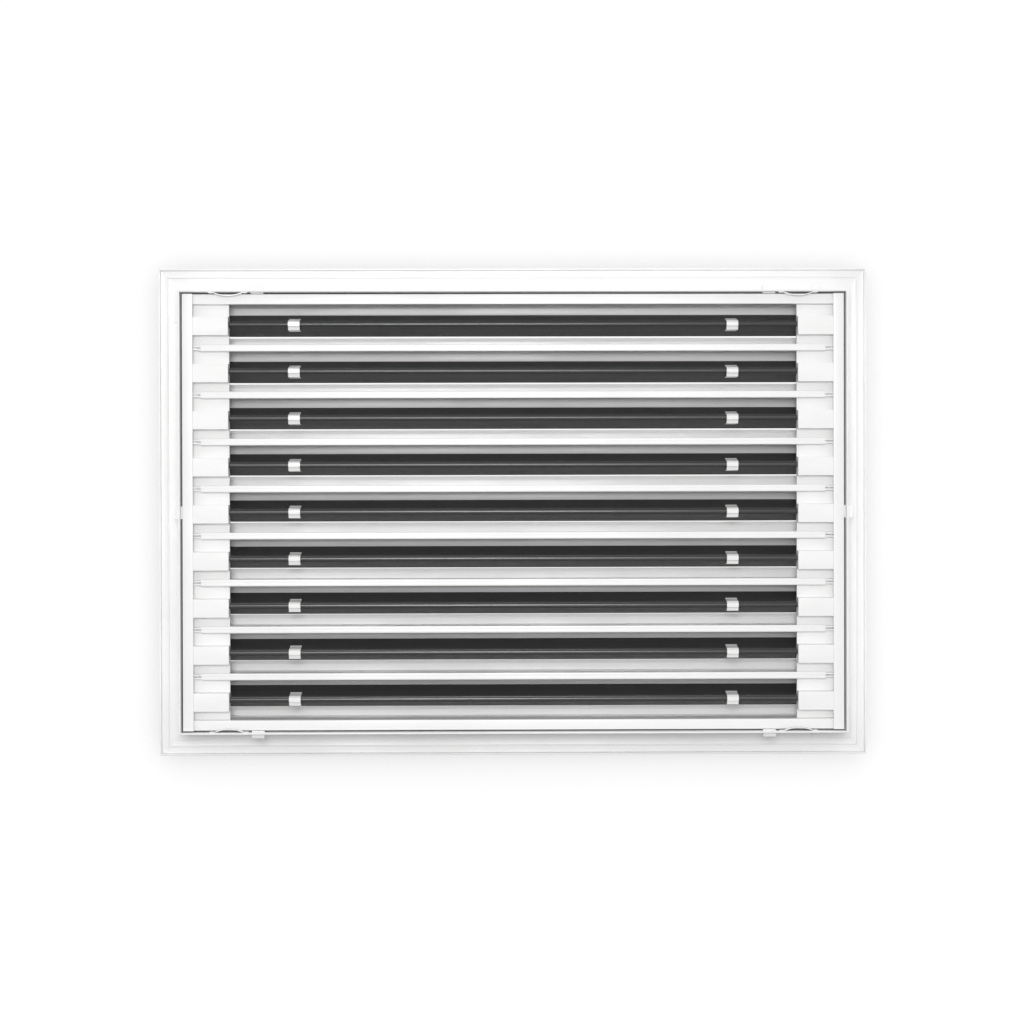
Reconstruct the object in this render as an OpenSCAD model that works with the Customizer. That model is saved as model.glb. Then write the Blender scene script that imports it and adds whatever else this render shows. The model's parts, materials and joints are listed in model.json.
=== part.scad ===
// Removable-core air grille for a duct or wall opening, millimetres.
// Origin: centre of the opening on the wall plane. +Y points into the room, -Y into the duct, +Z is up.

/* [Opening] */
// Width of the opening that the neck goes into
opening_w = 600; // [560:10:700]
// Height of the opening that the neck goes into
opening_h = 400; // [390:2:410]
// Gap all round between the neck and the opening
neck_gap = 3.5; // [2:0.5:5]

/* [Outer frame] */
// Overlap of the face flange past the opening
flange_overlap = 20; // [15:1:30]
// Distance of the front face from the wall
face_y = 7; // [6:0.5:9]
// Depth of the neck behind the wall
neck_depth = 45; // [45:1:60]
// Thickness of the extruded walls
wall = 1.6; // [1.4:0.1:1.8]
// Width of the flat corner keys
key_w = 8; // [6:1:9]
// Length of one leg of a corner key
key_leg = 27; // [20:1:40]

/* [Core] */
// Gap between the neck and the core at the top and bottom
core_gap_z = 1.45; // [1.4:0.05:1.6]
// Gap between the neck and the core at the sides
core_gap_x = 1.8; // [1.4:0.1:2]
// Rear face of the bars and the top and bottom rails
bar_rear_y = -37.6; // [-38:0.1:-37]
// Rear face of the side rails and the end-block bosses
side_rear_y = -41.6; // [-42:0.1:-41]
// Width of the slots seen from the room
slot_w = 19; // [17:0.5:20]
// Width of the bead along the rear edge of a bar
bead_w = 6.2; // [5.6:0.2:6.6]
// Width of a bar's hollow web
web_w = 4.4; // [4.2:0.1:4.8]
// Width of the rear face of the side rails
side_face_w = 9.3; // [9:0.1:10]
// Width of the side rails' border on the front face
front_border = 11.6; // [10:0.2:14]

/* [Deflector wings] */
// Place of the pivot axis, behind the wall
pivot_y = -35.4; // [-36:0.1:-35]
// Radius of the solid pivot bead
bead_r = 1.4; // [1.3:0.05:1.5]
// Thickness of a wing
wing_t = 1; // [0.9:0.1:1.1]
// Distance of a wing's tip from the middle of its slot
tip_z = 8.95; // [8.6:0.05:9.1]
// Where the wing's tip ends, behind the wall
tip_y = -2.6; // [-4:0.1:-2]
// Turn of both wings of a slot towards its upper side, in degrees
pair_turn = 1.9; // [-2:0.1:2]

/* [Fittings] */
// Distance of the wing clips from the middle of the grille
clip_x = 194.6; // [150:0.2:210]
// Length of a wing clip along the slot
clip_w = 10.3; // [8:0.1:12]
// Distance of the bow springs from the middle of the grille
spring_x = 252.4; // [245:0.2:256]
// Length of a bow spring
spring_len = 35; // [24:0.5:36]
// Distance of a bow spring's crest from the neck wall
spring_crest = 3.7; // [3.2:0.1:5.4]
// Distance of the upper and lower guide studs from the middle of the grille
stud_x = 227; // [200:1:228]
// Width of a guide stud
stud_w = 11.2; // [9:0.2:12]

/* [Hidden] */
$fn = 48;
rows = 9;
bars = rows - 1;

white = [0.96, 0.96, 0.96];
black = [0.08, 0.08, 0.09];
steel = [0.75, 0.76, 0.78];
eps = 0.01;

// Outer frame
neck_x = opening_w / 2 - neck_gap;
neck_z = opening_h / 2 - neck_gap;
face_x = opening_w / 2 + flange_overlap;
face_z = opening_h / 2 + flange_overlap;
in_x = neck_x - wall;
in_z = neck_z - wall;
lip_t = 1.5;
rib_in = 7.4;       // from the face's outer edge to the rib
rib_w = 1;
rib_h = 1.4;
face_t = 1.6;

// Core
core_x = in_x - core_gap_x;
core_z = in_z - core_gap_z;
pitch = (opening_h - 25) / rows;
rail_t = 1.4;
side_t = 1.5;
web_end_x = core_x - side_t;
rail_in_x = core_x - side_face_w;
border_x = core_x - front_border;
slot_lip = slot_w / 2;
lip_w = 3;          // raised edge along each slot
lip_h = 1.2;
rail_in_z = (rows - 1) / 2 * pitch + pitch / 2 - bead_w / 2;
bead_t = 3;
bead_end_x = rail_in_x - 6.6;
cavity_w = web_w - 2 * 1.1;
port_r = 1.45;
port_rear_y = bar_rear_y + bead_t + 2.6;
port_front_y = 1.6;
slit_w = 1;

// End blocks
block_x = 252.5;            // inner end of an end block
floor_y = -31.6;            // recessed floors above and below a boss
plate_y = -27.6;            // front of the plate that carries the boss
plug_x = 259.5;             // inner end of the deep part, hidden under the boss
boss_up = 6.7;              // boss edges from the slot's middle
boss_down = 9.8;
block_half = pitch / 2 - web_w / 2 - 0.05;
block_rail_half = pitch / 2 - bead_w / 2 - 0.05;
block_wall = 2;
pocket_z = 7.2;
pivot_hole_r = bead_r + 0.06;
pivot_end_x = block_x + 8;
hole_end_x = block_x + 9;

// Bow springs: an arc between two flat feet, each held by a rivet
spring_t = 0.8;
spring_y = -42;
spring_strip = 5;
rivet_dx = spring_len / 2 - 2.4;
rivet_r = 1;
foot = 4.4;
bow_half = spring_len / 2 - foot;
bow_rise = spring_crest - spring_t;
bow_r = (bow_half * bow_half + bow_rise * bow_rise) / (2 * bow_rise);

// Wings
wing_x = block_x - 0.4;
wing_long_x = plug_x - 0.4;     // the blades reach on under the end blocks
notch_y = plate_y + 0.4;
socket_in = bead_r + 0.06;
socket_out = 2.2;
root_r = 1.9;
root_z = 1.75;
steps = 12;

// Distance of a wing's middle line from the slot's middle, at a share t of its way from root to tip
function wing_mid(t) = root_z + (tip_z - root_z) * (0.8 * t + 0.2 * t * t);
function wing_y(t) = pivot_y + root_r + (tip_y - pivot_y - root_r) * t;
// Edge of a wing: side is 1 for the outer face and -1 for the inner face
function wing_edge(side) =
    [for (i = [0:steps]) [wing_y(i / steps), wing_mid(i / steps) + side * wing_t / 2]];
function reversed(list) = [for (i = [len(list) - 1:-1:0]) list[i]];
// Middle of slot k, counted from the top
function slot_z(k) = pitch * ((rows + 1) / 2 - k);
// Points of an arc of radius r about [cy, cz] from angle a to b
function arc(cy, cz, r, a, b, n) =
    [for (i = [0:n]) [cy + r * cos(a + (b - a) * i / n), cz + r * sin(a + (b - a) * i / n)]];

// Extrudes a [Y, Z] outline along X between two places
module along_x(x0, x1) {
    translate([x0, 0, 0]) rotate([90, 0, 90]) linear_extrude(x1 - x0) children();
}

// Extrudes an [X, Z] outline along Y between two places
module along_y(y0, y1) {
    translate([0, y1, 0]) rotate([90, 0, 0]) linear_extrude(y1 - y0) children();
}

module box_yz(y0, y1, z0, z1) {
    translate([y0, z0]) square([y1 - y0, z1 - z0]);
}

// Outer frame ------------------------------------------------------------

// Section of the frame extrusion as [Y, distance outwards], with the neck's outer face at inner
module frame_section(inner, outer) {
    box_yz(-neck_depth, face_y, inner - wall, inner);
    box_yz(face_y - face_t, face_y, inner - wall, outer);
    box_yz(0, face_y, outer - lip_t, outer);
    box_yz(face_y - face_t - rib_h, face_y - face_t + eps, outer - rib_in - rib_w, outer - rib_in);
    // small step at the root of the flange, which the corner keys run along
    box_yz(face_y - face_t - 0.8, face_y - face_t + eps, inner - eps, inner + 1.2);
}

module frame_rail_top() {
    intersection() {
        along_x(-face_x, face_x) frame_section(neck_z, face_z);
        along_y(-neck_depth - 1, face_y + 1)
            polygon([[-face_x, face_z], [face_x, face_z], [face_x - face_z, 0], [face_z - face_x, 0]]);
    }
}

module frame_rail_right() {
    intersection() {
        rotate([0, 90, 0]) along_x(-face_z, face_z) frame_section(neck_x, face_x);
        along_y(-neck_depth - 1, face_y + 1)
            polygon([[face_x, face_z], [face_x, -face_z], [face_x - face_z, 0]]);
    }
}

module stud_slot_top(side) {
    for (x = [-stud_x, stud_x])
        translate([x - stud_w / 2 - 0.1, -38.6, side * (neck_z - wall / 2) - wall])
            cube([stud_w + 0.2, 5.2, 2 * wall]);
}

module stud_slot_side(side) {
    translate([side * (neck_x - wall / 2) - wall, -38.6, -stud_w / 2 - 0.1])
        cube([2 * wall, 5.2, stud_w + 0.2]);
}

module rivet_holes(side) {
    for (x = [-spring_x, spring_x], dx = [-1, 1])
        translate([x + dx * rivet_dx, spring_y, side * (neck_z - wall / 2)])
            cylinder(r = rivet_r + 0.05, h = 2 * wall, center = true);
}

module frame_top() {
    color(white) difference() {
        frame_rail_top();
        stud_slot_top(1);
        rivet_holes(1);
    }
}

module frame_bottom() {
    color(white) difference() {
        mirror([0, 0, 1]) frame_rail_top();
        stud_slot_top(-1);
        rivet_holes(-1);
    }
}

module frame_right() {
    color(white) difference() {
        frame_rail_right();
        stud_slot_side(1);
    }
}

module frame_left() {
    color(white) difference() {
        mirror([1, 0, 0]) frame_rail_right();
        stud_slot_side(-1);
    }
}

// One flat L-shaped key with a coined dimple in each leg
module corner_key() {
    x0 = neck_x + 2;
    z0 = neck_z + 2;
    difference() {
        along_y(face_y - face_t - 1.2, face_y - face_t) difference() {
            translate([x0 - key_leg, z0 - key_leg]) square([key_leg + key_w, key_leg + key_w]);
            translate([x0 - key_leg - 1, z0 - key_leg - 1]) square([key_leg + 1, key_leg + 1]);
        }
        for (p = [[x0 - key_leg + 7, z0 + key_w / 2], [x0 + key_w / 2, z0 - key_leg + 7]])
            translate([p[0], face_y - face_t - 1.3, p[1]]) rotate([-90, 0, 0]) cylinder(r = 1.5, h = 0.7);
    }
}

module corner_keys() {
    color(white) for (mx = [0, 1], mz = [0, 1])
        mirror([mx, 0, 0]) mirror([0, 0, mz]) corner_key();
}

// Spring on the top neck wall: two flat feet and an arc that bows into the opening
module bow_spring() {
    along_y(spring_y - spring_strip / 2, spring_y + spring_strip / 2) {
        difference() {
            translate([0, in_z - bow_rise + bow_r - spring_t]) circle(r = bow_r);
            translate([0, in_z - bow_rise + bow_r - spring_t]) circle(r = bow_r - spring_t);
            translate([-2 * bow_r, in_z - spring_t]) square([4 * bow_r, 3 * bow_r]);
        }
        for (s = [-1, 1])
            translate([s * (bow_half + foot / 2 - 0.4), in_z - spring_t / 2])
                square([foot + 0.8, spring_t], center = true);
    }
}

module spring_at(sx, sz) {
    color(steel) mirror([0, 0, sz < 0 ? 1 : 0]) translate([sx * spring_x, 0, 0]) difference() {
        bow_spring();
        for (dx = [-1, 1]) translate([dx * rivet_dx, spring_y, in_z - 2])
            cylinder(r = rivet_r + 0.05, h = 4);
    }
}

module spring_rivets() {
    color(steel) for (mz = [0, 1], x = [-spring_x, spring_x], dx = [-1, 1])
        mirror([0, 0, mz]) translate([x + dx * rivet_dx, spring_y, 0]) {
            translate([0, 0, in_z - spring_t - 0.5]) cylinder(r = 1.7, h = 0.5);
            translate([0, 0, in_z - spring_t - eps]) cylinder(r = rivet_r, h = wall + spring_t + 2 * eps);
            translate([0, 0, neck_z]) cylinder(r1 = 1.7, r2 = 1.3, h = 0.6);
        }
}

// Plastic stud that snaps through the neck and centres the core, as [Y, Z] outline on the top wall
module stud_outline(wall_out, gap) {
    box_yz(-38.4, -33.6, wall_out - wall - gap + 0.35, wall_out + 0.2);
    polygon([[-39.6, wall_out + 0.05], [-32.4, wall_out + 0.05], [-32.9, wall_out + 3.2],
             [-34.2, wall_out + 4.4], [-37.8, wall_out + 4.4], [-39.1, wall_out + 3.2]]);
}

module guide_studs() {
    color(white) {
        for (mz = [0, 1], x = [-stud_x, stud_x])
            mirror([0, 0, mz]) along_x(x - stud_w / 2, x + stud_w / 2) stud_outline(neck_z, core_gap_z);
        for (mx = [0, 1])
            mirror([mx, 0, 0]) rotate([0, 90, 0])
                along_x(-stud_w / 2, stud_w / 2) stud_outline(neck_x, core_gap_x);
    }
}

// Core ---------------------------------------------------------------------

// C-shaped screw port, as [Y, Z] outline, with its slit open to the rear
module port_cut(y, slit) {
    translate([y, 0]) circle(r = port_r);
    if (slit) box_yz(y - 4, y, -slit_w / 2, slit_w / 2);
}

module bar_web_section() {
    difference() {
        box_yz(bar_rear_y + 1.6, face_y - face_t + eps, -web_w / 2, web_w / 2);
        box_yz(port_rear_y + port_r + 1.2, port_front_y - port_r - 1.2, -cavity_w / 2, cavity_w / 2);
        port_cut(port_rear_y, true);
        port_cut(port_front_y, false);
    }
}

// Bead along the rear edge of a bar, with rounded rear corners, as [Y, Z] outline
module bead_outline() {
    r = 0.8;
    translate([bar_rear_y + r, -bead_w / 2 + r]) circle(r = r);
    translate([bar_rear_y + r, bead_w / 2 - r]) circle(r = r);
    box_yz(bar_rear_y, bar_rear_y + bead_t, -bead_w / 2 + r, bead_w / 2 - r);
    box_yz(bar_rear_y + r, bar_rear_y + bead_t, -bead_w / 2, bead_w / 2);
}

// Flange on the face between two slots, thicker along both lips
module bar_flange_section() {
    lip = pitch / 2 - slot_lip;
    polygon([[face_y, -lip], [face_y, lip], [face_y - face_t - lip_h, lip], [face_y - face_t, lip - lip_w],
             [face_y - face_t, lip_w - lip], [face_y - face_t - lip_h, -lip]]);
}

// Bar i of the core, between slots i and i + 1
module core_bar(i) {
    z = (slot_z(i) + slot_z(i + 1)) / 2;
    color(white) translate([0, 0, z]) {
        along_x(-web_end_x, web_end_x) bar_web_section();
        along_x(-bead_end_x, bead_end_x) bead_outline();
        along_x(-border_x, border_x) bar_flange_section();
    }
}

// Section of the top rail: a box at the back and a flange on the face
module rail_section() {
    difference() {
        box_yz(bar_rear_y, face_y, rail_in_z, core_z);
        box_yz(bar_rear_y + rail_t, face_y - face_t, rail_in_z + rail_t, core_z - rail_t);
    }
    lip = slot_z(1) + slot_lip;
    polygon([[face_y, lip], [face_y, rail_in_z + eps], [face_y - face_t, rail_in_z + eps],
             [face_y - face_t, lip + lip_w], [face_y - face_t - lip_h, lip]]);
    for (y = [rail_port_y, rail_port_front_y])
        port_boss(y);
}

rail_port_y = bar_rear_y + rail_t + 2.4;
rail_port_front_y = face_y - face_t - 2.4;
rail_port_z = (rail_in_z + core_z) / 2;

// Screw port inside a rail: a ring that joins both walls
module port_boss(y) {
    difference() {
        box_yz(y - 2.4, y + 2.4, rail_in_z + rail_t - eps, core_z - rail_t + eps);
        translate([y, rail_port_z]) circle(r = port_r);
    }
}

module core_rail_top() {
    color(white) along_x(-web_end_x, web_end_x) rail_section();
}

module core_rail_bottom() {
    color(white) mirror([0, 0, 1]) along_x(-web_end_x, web_end_x) rail_section();
}

// Side rail: a channel with its web outermost, its rear face at side_rear_y and its border on the face
module side_rail(side) {
    color(white) mirror([side < 0 ? 1 : 0, 0, 0]) difference() {
        union() {
            translate([web_end_x, side_rear_y, -core_z]) cube([side_t, face_y - side_rear_y, 2 * core_z]);
            translate([rail_in_x, side_rear_y, -core_z]) cube([side_face_w - eps, 1.5, 2 * core_z]);
            // the face border runs between the flanges of the top and bottom rails
            translate([border_x, face_y - face_t, -slot_z(1) - slot_lip])
                cube([front_border - eps, face_t, 2 * (slot_z(1) + slot_lip)]);
        }
        for (p = screw_places()) translate([core_x + 0.1, p[0], p[1]]) rotate([0, -90, 0]) {
            cylinder(r = 1.7, h = 4);
            cylinder(r1 = 2.9, r2 = 1.7, h = 1.2);
        }
    }
}

// Screws go into both ports of each bar and of both rails
function screw_places() = concat(
    [for (i = [1:bars], y = [port_rear_y, port_front_y]) [y, (slot_z(i) + slot_z(i + 1)) / 2]],
    [for (s = [-1, 1], y = [rail_port_y, rail_port_front_y]) [y, s * rail_port_z]]);

module core_screw() {
    difference() {
        union() {
            translate([0.15, 0, 0]) rotate([0, 90, 0]) cylinder(r1 = 2.6, r2 = 1.55, h = 1.1);
            rotate([0, 90, 0]) cylinder(r = 1.38, h = 12);
        }
        for (a = [0, 90]) rotate([a, 0, 0]) translate([-0.1, -0.35, -1.5]) cube([1, 0.7, 3]);
    }
}

module core_screws() {
    color(steel) for (mx = [0, 1], p = screw_places())
        mirror([mx, 0, 0]) translate([core_x, p[0], p[1]]) mirror([1, 0, 0]) core_screw();
}

// End block in slot k: a base between two webs, recessed floors, a raised boss and a plug in the slot
module end_block(k) {
    up = k == 1 ? block_rail_half : block_half;
    down = k == rows ? block_rail_half : block_half;
    translate([0, 0, slot_z(k)]) difference() {
        union() {
            along_x(block_x, rail_in_x - 0.05) {
                box_yz(floor_y, plate_y, -down, up);
                box_yz(side_rear_y, floor_y + eps, -boss_down, boss_up);
            }
            along_x(plug_x, rail_in_x - 0.05) {
                box_yz(plate_y - eps, -14, -down, up);
                box_yz(-14.5, face_y - face_t - 0.1, -slot_lip + 0.3, slot_lip - 0.3);
            }
            along_x(rail_in_x - 0.06, web_end_x - 0.1) {
                box_yz(side_rear_y + 1.6, -14, -boss_down, boss_up);
                box_yz(floor_y, -14, -down, up);
            }
            along_x(plug_x, border_x - 0.1)
                box_yz(face_y - face_t - 0.2, face_y - 0.6, -slot_lip + 0.1, slot_lip - 0.1);
        }
        along_x(block_x - 1, hole_end_x) translate([pivot_y, 0]) circle(r = pivot_hole_r);
        // moulded pockets, open towards the side rail
        along_x(plug_x + block_wall, web_end_x) {
            box_yz(floor_y + block_wall, face_y - face_t - 2, -pocket_z, pocket_z);
            for (s = [-1, 1]) mirror([0, s < 0 ? 1 : 0])
                box_yz(floor_y + block_wall, -14 - block_wall, pocket_z + block_wall, block_rail_half - block_wall);
        }
        along_x(hole_end_x + block_wall, rail_in_x + 1)
            box_yz(side_rear_y + block_wall + 0.4, floor_y + block_wall + 1, -pocket_z, boss_up - block_wall);
    }
}

module end_blocks(side) {
    color(white) mirror([side < 0 ? 1 : 0, 0, 0]) for (k = [1:rows]) end_block(k);
}

// Deflector wings ------------------------------------------------------------

// Upper wing: solid pivot bead, curved blade and a small bead at the tip
module upper_wing_section() {
    translate([pivot_y, 0]) circle(r = bead_r);
    polygon(concat(
        [[pivot_y + 0.6, 0.2], [pivot_y + 1.0, -0.15], [pivot_y + root_r + 0.35, root_z - wing_t / 2]],
        wing_edge(-1),
        reversed(wing_edge(1)),
        [[pivot_y + root_r - 0.3, root_z + wing_t / 2 - 0.2]]));
    translate([tip_y, tip_z]) circle(r = 0.7);
}

// Lower wing: the same blade mirrored
module lower_blade_section() {
    difference() {
        mirror([0, 1]) {
            polygon(concat(wing_edge(-1), reversed(wing_edge(1)),
                [[pivot_y + 0.2, socket_in + 0.1], [pivot_y + 1.2, socket_in - 0.25]]));
            translate([tip_y, tip_z]) circle(r = 0.7);
        }
        translate([pivot_y, 0]) circle(r = socket_out);
    }
}

// Open socket of the lower wing, which snaps over the upper wing's bead
socket_from = 95;
socket_to = 335;

module socket_section() {
    polygon(concat(
        arc(pivot_y, 0, socket_out, socket_from, socket_to, 40),
        reversed(arc(pivot_y, 0, socket_in, socket_from, socket_to, 40))));
}

// Square rib along the back of the socket, left out under the clips
module socket_rib_section() {
    difference() {
        box_yz(pivot_y - 2.3, pivot_y - 1.25, 0.2, 1.5);
        translate([pivot_y, 0]) circle(r = (socket_in + socket_out) / 2);
    }
}

// Turns a section about its pivot, as the pair is set
module set_pair() {
    translate([pivot_y, 0]) rotate(pair_turn) translate([-pivot_y, 0]) children();
}

// A blade: its whole section between the end blocks, and its front part on under them
module blade() {
    along_x(-wing_x, wing_x) set_pair() children();
    along_x(-wing_long_x, wing_long_x) intersection() {
        set_pair() children();
        box_yz(notch_y, 0, -12, 12);
    }
}

module upper_wing(k) {
    color(black) translate([0, 0, slot_z(k)]) {
        blade() upper_wing_section();
        along_x(-pivot_end_x, pivot_end_x) translate([pivot_y, 0]) circle(r = bead_r);
    }
}

module lower_wing(k) {
    color(black) translate([0, 0, slot_z(k)]) blade() lower_blade_section();
}

module wing_socket(k) {
    near = clip_x - clip_w / 2 - 0.4;
    far = clip_x + clip_w / 2 + 0.4;
    color(black) translate([0, 0, slot_z(k)]) {
        along_x(-wing_x, wing_x) set_pair() socket_section();
        along_x(-near, near) set_pair() socket_rib_section();
        for (m = [0, 1]) mirror([m, 0, 0]) along_x(far, wing_x) set_pair() socket_rib_section();
    }
}

// Sprung clip over the pivot, as a [Y, Z] outline: a crown and two legs with flared ends
clip_t = 0.7;
clip_in = socket_out + 0.02;
clip_reach = 13.6;
clip_leg_z = 4.35;

module clip_section() {
    difference() {
        translate([pivot_y, 0]) circle(r = clip_in + clip_t);
        translate([pivot_y, 0]) circle(r = clip_in);
        box_yz(pivot_y - 0.4, pivot_y + 5, -6, 6);
    }
    for (s = [0, 1]) mirror([0, s])
        polygon([[pivot_y - 0.5, clip_in], [pivot_y + clip_reach - 2, clip_leg_z],
                 [pivot_y + clip_reach, clip_leg_z + 0.6], [pivot_y + clip_reach - 0.3, clip_leg_z + 1.2],
                 [pivot_y + clip_reach - 2.3, clip_leg_z + clip_t], [pivot_y - 0.6, clip_in + clip_t]]);
}

module wing_clips(k) {
    color(white) for (x = [-clip_x, clip_x])
        translate([0, 0, slot_z(k)]) along_x(x - clip_w / 2, x + clip_w / 2) set_pair() clip_section();
}

frame_top();
frame_bottom();
frame_left();
frame_right();
corner_keys();
spring_at(-1, 1);  // spring_top_left
spring_at(1, 1);  // spring_top_right
spring_at(-1, -1);  // spring_bottom_left
spring_at(1, -1);  // spring_bottom_right
spring_rivets();
guide_studs();
core_rail_top();
core_rail_bottom();
side_rail(-1);  // side_rail_left
side_rail(1);  // side_rail_right
for (i = [1:bars]) core_bar(i);
end_blocks(-1);  // end_blocks_left
end_blocks(1);  // end_blocks_right
core_screws();
for (k = [1:rows]) {
    upper_wing(k);
    lower_wing(k);
    wing_socket(k);
    wing_clips(k);
}
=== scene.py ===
"""Looks of a removable-core air grille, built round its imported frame.

The grille has a mitred outer frame with a neck, and a core that slides out of it. The core carries slotted
bars, end blocks and pairs of black deflector wings. Lengths are in millimetres until a mesh is made, and +Y
points into the room.
"""

from __future__ import annotations

import json
import logging
import math
from dataclasses import dataclass, field
from enum import Enum

import bmesh
import bpy
import numpy as np
from mathutils import Matrix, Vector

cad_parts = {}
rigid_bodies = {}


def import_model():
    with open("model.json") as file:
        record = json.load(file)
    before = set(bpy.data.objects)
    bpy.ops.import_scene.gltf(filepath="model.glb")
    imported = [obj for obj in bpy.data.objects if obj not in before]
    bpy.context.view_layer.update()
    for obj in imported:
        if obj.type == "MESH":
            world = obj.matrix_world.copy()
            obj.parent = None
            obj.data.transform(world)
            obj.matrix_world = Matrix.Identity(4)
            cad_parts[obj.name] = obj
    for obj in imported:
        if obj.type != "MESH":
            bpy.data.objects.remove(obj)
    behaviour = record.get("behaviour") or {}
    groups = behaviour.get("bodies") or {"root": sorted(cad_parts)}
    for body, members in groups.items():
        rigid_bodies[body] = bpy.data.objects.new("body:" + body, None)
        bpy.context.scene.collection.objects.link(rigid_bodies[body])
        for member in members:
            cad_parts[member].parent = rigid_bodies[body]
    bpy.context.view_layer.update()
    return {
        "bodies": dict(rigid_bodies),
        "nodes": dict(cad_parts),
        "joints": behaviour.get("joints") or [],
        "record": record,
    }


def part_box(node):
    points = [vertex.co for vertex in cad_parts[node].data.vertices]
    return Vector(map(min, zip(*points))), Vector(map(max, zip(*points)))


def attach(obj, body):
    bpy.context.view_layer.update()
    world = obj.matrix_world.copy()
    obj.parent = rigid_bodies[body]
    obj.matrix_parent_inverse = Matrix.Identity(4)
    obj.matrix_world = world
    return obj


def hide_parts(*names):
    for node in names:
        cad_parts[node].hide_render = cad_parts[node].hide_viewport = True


LOG = logging.getLogger("air_grille")
MM = 0.001


# Shapes


@dataclass
class Shell:
    """A closed skin: points in millimetres, four-sided faces and the many-sided faces that close its ends."""

    points: np.ndarray
    quads: np.ndarray
    caps: list[np.ndarray]

    def mirrored(self, axis: int) -> Shell:
        """The same skin on the other side of the middle plane across an axis, 0 to 2.

        Args:
            axis: 0 for X, 1 for Y or 2 for Z.

        Returns:
            the mirrored skin.
        """
        sign = np.ones(3)
        sign[axis] = -1.0
        return Shell(self.points * sign, self.quads, self.caps)

    def swapped(self, first: int, second: int) -> Shell:
        """The same skin with two axes, 0 to 2, exchanged.

        Args:
            first: one of the axes.
            second: the other axis.

        Returns:
            the skin with the axes exchanged.
        """
        order = [0, 1, 2]
        order[first], order[second] = second, first
        return Shell(self.points[:, order], self.quads, self.caps)

    def moved(self, x: float = 0.0, y: float = 0.0, z: float = 0.0) -> Shell:
        """The same skin moved by a distance along each axis."""
        return Shell(self.points + np.array([x, y, z]), self.quads, self.caps)


def tube(rings: np.ndarray) -> Shell:
    """Closed skin through a stack of rings of equally many points.

    A quad joins each side of a ring to the same side of the next, and one face closes each end.

    Args:
        rings: places in millimetres, as an array of rings by points by three.

    Returns:
        The closed skin.
    """
    count, around, _ = rings.shape
    index = np.arange(count * around).reshape(count, around)
    after = np.roll(index, -1, axis=1)
    quads = np.stack([index[:-1], after[:-1], after[1:], index[1:]], axis=-1).reshape(-1, 4)
    return Shell(rings.reshape(-1, 3), quads, [index[0][::-1], index[-1]])


def rounded(corners: np.ndarray, cuts: np.ndarray, steps: int = 4) -> np.ndarray:
    """Closed outline with each corner replaced by a smooth turn.

    The turn at corner P starts at A and ends at B, both one cut away from P along its two sides, and is the
    curve (1 - s)^2 A + 2 s (1 - s) P + s^2 B for s from 0 to 1. A cut is never more than 0.45 of a side.

    Args:
        corners: the outline's corners in order, as pairs.
        cuts: how far from each corner its turn begins.
        steps: straight steps in a turn.

    Returns:
        The points of the outline, corners by steps + 1, as pairs.
    """
    before = np.roll(corners, 1, axis=0) - corners
    ahead = np.roll(corners, -1, axis=0) - corners
    length_before = np.linalg.norm(before, axis=1, keepdims=True)
    length_ahead = np.linalg.norm(ahead, axis=1, keepdims=True)
    reach = np.minimum(np.asarray(cuts, float)[:, None], 0.45 * np.minimum(length_before, length_ahead))
    start = corners + before / length_before * reach
    end = corners + ahead / length_ahead * reach
    s = np.linspace(0.0, 1.0, steps + 1)[None, :, None]
    turn = (1 - s) ** 2 * start[:, None] + 2 * s * (1 - s) * corners[:, None] + s**2 * end[:, None]
    return turn.reshape(-1, 2)


def outline_of(corners: list) -> np.ndarray:
    """Rounded outline of corners that are each given by two coordinates and the cut of its turn."""
    table = np.array(corners)
    return rounded(table[:, :2], table[:, 2])


def arc(centre: tuple[float, float], radius: float, start: float, end: float, count: int) -> np.ndarray:
    """Points along an arc of a circle, from one angle to another in degrees."""
    angle = np.radians(np.linspace(start, end, count))
    return np.stack([centre[0] + radius * np.cos(angle), centre[1] + radius * np.sin(angle)], axis=-1)


def along_x(outline: np.ndarray, places: list[float]) -> np.ndarray:
    """Rings of one [Y, Z] outline at several places along X.

    Args:
        outline: points of the outline, as [Y, Z].
        places: the places along X.

    Returns:
        one ring for each place, as an array of [place, point, axis].
    """
    rings = np.empty((len(places), len(outline), 3))
    rings[:, :, 0] = np.asarray(places)[:, None]
    rings[:, :, 1:] = outline[None]
    return rings


def along_y(outline: np.ndarray, places: list[float]) -> np.ndarray:
    """Rings of one [X, Z] outline at several places along Y."""
    return along_x(outline, places)[:, :, [1, 0, 2]]


def along_z(outline: np.ndarray, places: list[float]) -> np.ndarray:
    """Rings of one [X, Y] outline at several places along Z."""
    return along_x(outline, places)[:, :, [1, 2, 0]]


def turned(profile: np.ndarray, around: int = 24) -> Shell:
    """Solid of revolution about Z.

    Ring i is a circle of radius profile[i, 0] at height profile[i, 1], with around points.

    Args:
        profile: pairs of radius and height, from one end to the other, with no radius of zero.
        around: points in a circle.

    Returns:
        The closed skin.
    """
    angle = np.linspace(0.0, 2 * np.pi, around, endpoint=False)
    rings = np.empty((len(profile), around, 3))
    rings[:, :, 0] = profile[:, 0:1] * np.cos(angle)
    rings[:, :, 1] = profile[:, 0:1] * np.sin(angle)
    rings[:, :, 2] = profile[:, 1:2]
    return tube(rings)


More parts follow.
